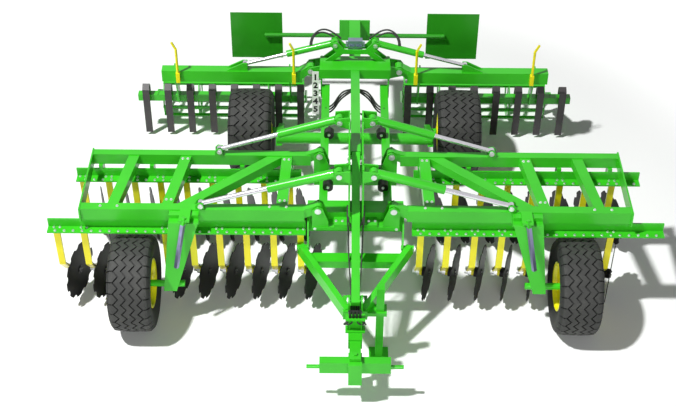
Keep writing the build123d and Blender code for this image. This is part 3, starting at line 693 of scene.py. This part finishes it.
# supply hoses from the hose holder back along the drawbar and up the tower
COUPLER_PLACES = (-0.048, -0.018, 0.012, 0.042)
couplers = Fasteners()
for x in COUPLER_PLACES:
    couplers.bar((x, -1.975, 0.735), (0, 0, 1), 0.012, 0.06)
    couplers.bar((x, -1.975, 0.775), (0, 0, 1), 0.016, 0.03)
couplers.done("hose_couplers", "chassis", "disc_steel", DARK)
for index, x in enumerate(COUPLER_PLACES):
    side = -1 if index < 2 else 1
    lane = side * (0.012 + 0.018 * (index % 2))
    hose(f"supply_hose_{index + 1}", "chassis",
         [(x, -1.975, 0.715), (x, -1.985, 0.690), (x * 2.3, -2.000, 0.650),
          (side * 0.075 + lane * 0.5, -1.960, 0.610), (side * 0.050 + lane, -1.925, 0.610),
          (lane, -1.880, 0.640), (lane, -1.720, 0.668), (lane * 1.6, -1.450, 0.690),
          (lane * 2.0, -1.250, 0.775), (lane * 2.2, -1.150, 0.880), (lane * 2.2, -1.142, 1.020),
          (side * 0.070 + lane * 0.3, -1.118, 1.100), (side * 0.076, -1.040, 1.220)],
         radius=0.007)

# black swivel drums on the rails, with their hoses
DRUM_X = 0.262
DRUM_Z = 1.015
REAR_DRUM_Y = 0.322
FRONT_DRUM_Y = -0.503
RAIL_HOSES = ((REAR_DRUM_Y, 0.0, 1.200), (FRONT_DRUM_Y, 0.0, 1.195), (FRONT_DRUM_Y, 0.035, 1.225))
drums, drum_pins = Fasteners(sides=28), Fasteners()
for side in (-1, 1):
    for y in (REAR_DRUM_Y, FRONT_DRUM_Y):
        drums.bar((side * DRUM_X, y, DRUM_Z), (0, 1, 0), 0.050, 0.075)
        drum_pins.bar((side * DRUM_X, y - 0.040, DRUM_Z + 0.006), (0, 1, 0), 0.014, 0.012)
drums.done("swivel_drums", "chassis", "disc_steel", DARK)
drum_pins.done("swivel_drum_pins", "chassis", "valve_metal", STEEL)
for side_name, side in SIDES:
    for index, (y, rise, end) in enumerate(RAIL_HOSES):
        hose(f"rail_hose_{side_name}_{index + 1}", "chassis",
             [(side * DRUM_X, y + 0.035, 1.030 + rise), (side * 0.260, y + 0.090, 1.075 + rise),
              (side * 0.220, y + 0.120, 1.110 + rise), (side * 0.150, y + 0.110, 1.115 + rise),
              (side * 0.052, y + 0.080, end)], radius=0.010)

# roller hoses in arcs from beside the valve block over the fold cylinders, which carry them
for side_name, side in SIDES:
    for index, rise in enumerate((0.0, 0.045)):
        hose(f"roller_hose_{side_name}_{index + 1}", f"roller_barrel_{side_name}",
             [(side * 0.150, 1.505, 1.345 + rise * 0.6), (side * 0.20, 1.510, 1.375 + rise),
              (side * 0.30, 1.510, 1.440 + rise), (side * 0.385, 1.505, 1.450 + rise * 0.6),
              (side * (0.455 + rise * 0.3), 1.475, 1.400), (side * (0.460 + rise * 0.3), 1.445, 1.326)],
             radius=0.0095)
    # loops beside the spine and under the tower
    for index, drop in enumerate((0.0, 0.035, 0.070)):
        hose(f"spine_hose_{side_name}_{index + 1}", "chassis",
             [(side * 0.044, 0.860, 1.170 - drop * 0.4), (side * 0.115, 0.900, 1.130 - drop),
              (side * 0.175, 0.930, 1.030 - drop), (side * 0.215, 0.910, 0.960 - drop),
              (side * 0.275, 0.880, 0.925 - drop), (side * 0.300, 0.850, 0.970 - drop),
              (side * 0.300, 0.790, 0.975 - drop)])
    for index, shift in enumerate((0.0, 0.026)):
        hose(f"tower_hose_{side_name}_{index + 1}", "chassis",
             [(side * 0.074, -0.980 + shift, 1.500), (side * (0.115 + shift), -0.960, 1.470),
              (side * (0.150 + shift), -0.900, 1.440), (side * (0.140 + shift), -0.780, 1.400),
              (side * 0.095, -0.700, 1.340), (side * 0.074, -0.560 + shift, 1.250)])


# Studio: a pale floor and a soft key light from the upper left

FLOOR_HALF = 40.0
floor_mesh = bpy.data.meshes.new("floor")
floor_mesh.from_pydata([(-FLOOR_HALF, -FLOOR_HALF, 0), (FLOOR_HALF, -FLOOR_HALF, 0),
                        (FLOOR_HALF, FLOOR_HALF, 0), (-FLOOR_HALF, FLOOR_HALF, 0)], [], [(0, 1, 2, 3)])
floor = bpy.data.objects.new("floor", floor_mesh)
bpy.context.scene.collection.objects.link(floor)
floor.location.z = -0.001
floor_look = Shader("pale_floor")
floor_look.set(Base_Color=(0.92, 0.93, 0.92, 1.0), Roughness=0.6)
floor_look.set(Specular_IOR_Level=0.1)
# the camera sees the floor white away from the machine, and a little brighter round it
length = floor_look.node("ShaderNodeVectorMath", output="Value", settings={"operation": "LENGTH"})
floor_look.tree.links.new(floor_look.places().socket, length.socket.node.inputs[0])
seen_floor = floor_look.node("ShaderNodeLightPath", output="Is Camera Ray") * (0.03 + length.step(3.6, 7.0))
floor_look.set(Emission_Color=(1.0, 1.0, 1.0, 1.0), Emission_Strength=seen_floor)
floor_mesh.materials.append(floor_look.material)


def area_light(name, place, target, size, power):
    """A square soft light aimed at a point."""
    data = bpy.data.lights.new(name, "AREA")
    data.shape = "SQUARE"
    data.size = size
    data.energy = power
    lamp = bpy.data.objects.new(name, data)
    bpy.context.scene.collection.objects.link(lamp)
    direction = Vector(target) - Vector(place)
    lamp.rotation_euler = direction.to_track_quat("-Z", "Y").to_euler()
    lamp.location = place


area_light("key_light", (-8.8, -4.6, 18.4), (0, 0, 0.6), 0.9, 5300.0)
area_light("front_fill", (1.0, -12.5, 4.2), (0, 0, 0.7), 4.0, 470.0)

# the room lights the machine softly; metal sees it brighter
world = bpy.data.worlds.new("studio")
world.use_nodes = True
room = world.node_tree
rays = room.nodes.new("ShaderNodeLightPath")
glossy = Value(room, rays.outputs["Is Glossy Ray"]) * 0.82
seen = Value(room, rays.outputs["Is Camera Ray"]).math("MAXIMUM", glossy)
background = room.nodes["Background"]
background.inputs["Color"].default_value = (1.0, 1.0, 1.0, 1.0)
room.links.new((0.10 + seen * 0.90).socket, background.inputs["Strength"])
bpy.context.scene.world = world
bpy.context.scene.view_settings.view_transform = "Standard"
